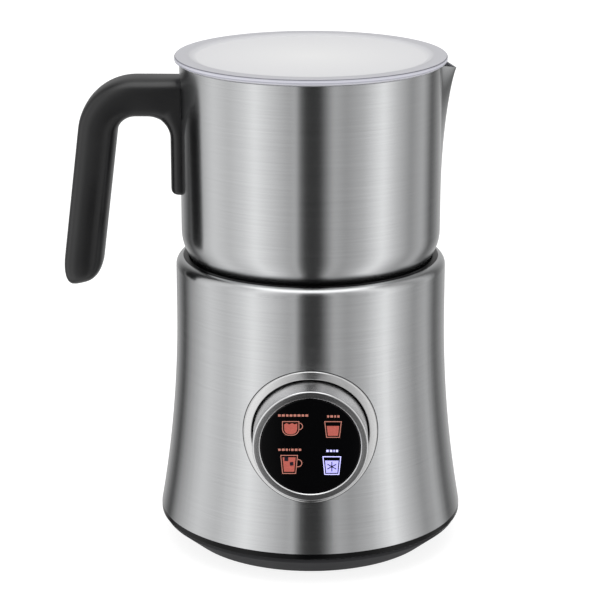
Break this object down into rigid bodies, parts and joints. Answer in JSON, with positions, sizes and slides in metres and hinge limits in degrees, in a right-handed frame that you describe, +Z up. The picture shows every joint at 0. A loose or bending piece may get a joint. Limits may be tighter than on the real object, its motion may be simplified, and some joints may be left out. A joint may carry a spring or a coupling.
{
  "type": "milk frother",
  "caption": "Induction milk frother: flared steel base with a turning dial round a press display, lift-off steel jug with spout and black handle, loose frosted lid and magnetic whisk.",
  "frame": {"origin": "centre of the foot ring, on the surface the base stands on", "axes": "+Z up; -Y to the front, where the dial is; +X to the pouring lip, with the handle at -X"},
  "size_m": [0.1827, 0.1474, 0.2272],
  "materials": {
    "brushed_steel": "brushed stainless steel, fine horizontal grain",
    "satin_metal": "satin silver, turned",
    "black_gloss": "polished black plastic",
    "black_satin": "satin black plastic",
    "black_matte": "fine-textured dark grey plastic",
    "rubber": "matte black rubber",
    "black_glass": "polished black display window with printed signs",
    "frosted_plastic": "frosted translucent white plastic",
    "silicone": "translucent silicone",
    "mica": "mica sheet",
    "light_plastic": "natural heat-resistant plastic",
    "copper": "enamelled copper wire",
    "ferrite": "sintered ferrite",
    "screw_steel": "plated steel",
    "plated_steel": "zinc-plated steel",
    "circuit_board": "green solder mask",
    "capacitor_yellow": "yellow film capacitor box",
    "aluminium": "plain aluminium",
    "terminal_green": "green terminal plastic",
    "magnet_nickel": "nickel-plated magnet",
    "clear_acrylic": "clear acrylic",
    "whisk_wire": "bright stainless spring wire"
  },
  "bodies": {
    "base": {"base_shell": "brushed_steel", "well_liner": "black_gloss", "mica_disc": "mica", "coil_former": "light_plastic", "induction_coil": "copper", "ferrite_bars": "ferrite", "former_screws": "screw_steel", "sensor_sleeve": "light_plastic", "chassis": "light_plastic", "motor_can": "plated_steel", "motor_end_cap": "black_matte", "field_magnets": "ferrite", "motor_bracket": "plated_steel", "motor_screws": "screw_steel", "bracket_grommets": "rubber", "bracket_bolts": "screw_steel", "power_board": "circuit_board", "board_screws": "screw_steel", "filter_capacitors": "capacitor_yellow", "line_choke": "copper", "heat_sink": "aluminium", "power_transistor": "black_matte", "terminal_block": "terminal_green", "fan_frame": "black_matte", "base_ring": "black_gloss", "base_pan": "black_matte", "pan_screws": "screw_steel", "foot_ring": "rubber", "cord_gland": "black_matte", "dial_trim": "satin_metal", "dial_housing": "black_matte", "display_board": "circuit_board", "display_leds": "light_plastic", "tact_switch": "black_matte", "turn_sensor": "black_matte"},
    "rotor": {"motor_shaft": "screw_steel", "armature": "plated_steel", "magnet_carrier": "light_plastic", "drive_magnets": "magnet_nickel"},
    "fan": {"fan_rotor": "black_matte"},
    "sensor": {"sensor_cap": "aluminium", "sensor_spring": "screw_steel"},
    "dial": {"dial_ring": "satin_metal", "code_ring": "ferrite"},
    "display": {"display_glass": "black_glass", "display_carrier": "black_matte", "light_guides": "clear_acrylic", "display_spring": "screw_steel"},
    "jug": {"jug_body": "brushed_steel", "induction_disc": "plated_steel", "whisk_post": "screw_steel", "handle_bracket": "plated_steel", "handle_grip": "black_satin", "handle_screws": "screw_steel"},
    "lid": {"lid_plate": "frosted_plastic", "lid_gasket": "silicone"},
    "whisk_sleeve": {"whisk_bush": "light_plastic"},
    "whisk": {"whisk_frame": "black_satin", "whisk_coil": "whisk_wire", "whisk_magnets": "magnet_nickel"}
  },
  "joints": [
    {"name": "rotor_spin", "type": "hinge", "parent": "base", "child": "rotor", "pos_m": [0, 0, 0.1], "axis": [0, 0, 1], "continuous": true},
    {"name": "fan_spin", "type": "hinge", "parent": "base", "child": "fan", "pos_m": [0, 0.034, 0.01], "axis": [0, 0, 1], "continuous": true},
    {"name": "sensor_press", "type": "slide", "parent": "base", "child": "sensor", "axis": [0, 0, 1], "range_m": [-0.002, 0], "stiffness_N_per_m": 300, "deforming": ["sensor_spring"]},
    {"name": "dial_turn", "type": "hinge", "parent": "base", "child": "dial", "pos_m": [0, -0.07, 0.0684], "axis": [0, -1, 0], "continuous": true},
    {"name": "display_press", "type": "slide", "parent": "base", "child": "display", "axis": [0, 1, 0], "range_m": [0, 0.001], "stiffness_N_per_m": 600, "deforming": ["display_spring"]},
    {"name": "jug_lift", "type": "slide", "parent": "base", "child": "jug", "axis": [0, 0, 1], "range_m": [0, 0.05]},
    {"name": "lid_lift", "type": "slide", "parent": "jug", "child": "lid", "axis": [0, 0, 1], "range_m": [0, 0.04]},
    {"name": "whisk_lift", "type": "slide", "parent": "jug", "child": "whisk_sleeve", "axis": [0, 0, 1], "range_m": [0, 0.05]},
    {"name": "whisk_spin", "type": "hinge", "parent": "whisk_sleeve", "child": "whisk", "pos_m": [0, 0, 0.135], "axis": [0, 0, 1], "continuous": true}
  ],
  "couplings": [
    {"joint": "whisk_spin", "follows": "rotor_spin", "ratio": 1}
  ]
}
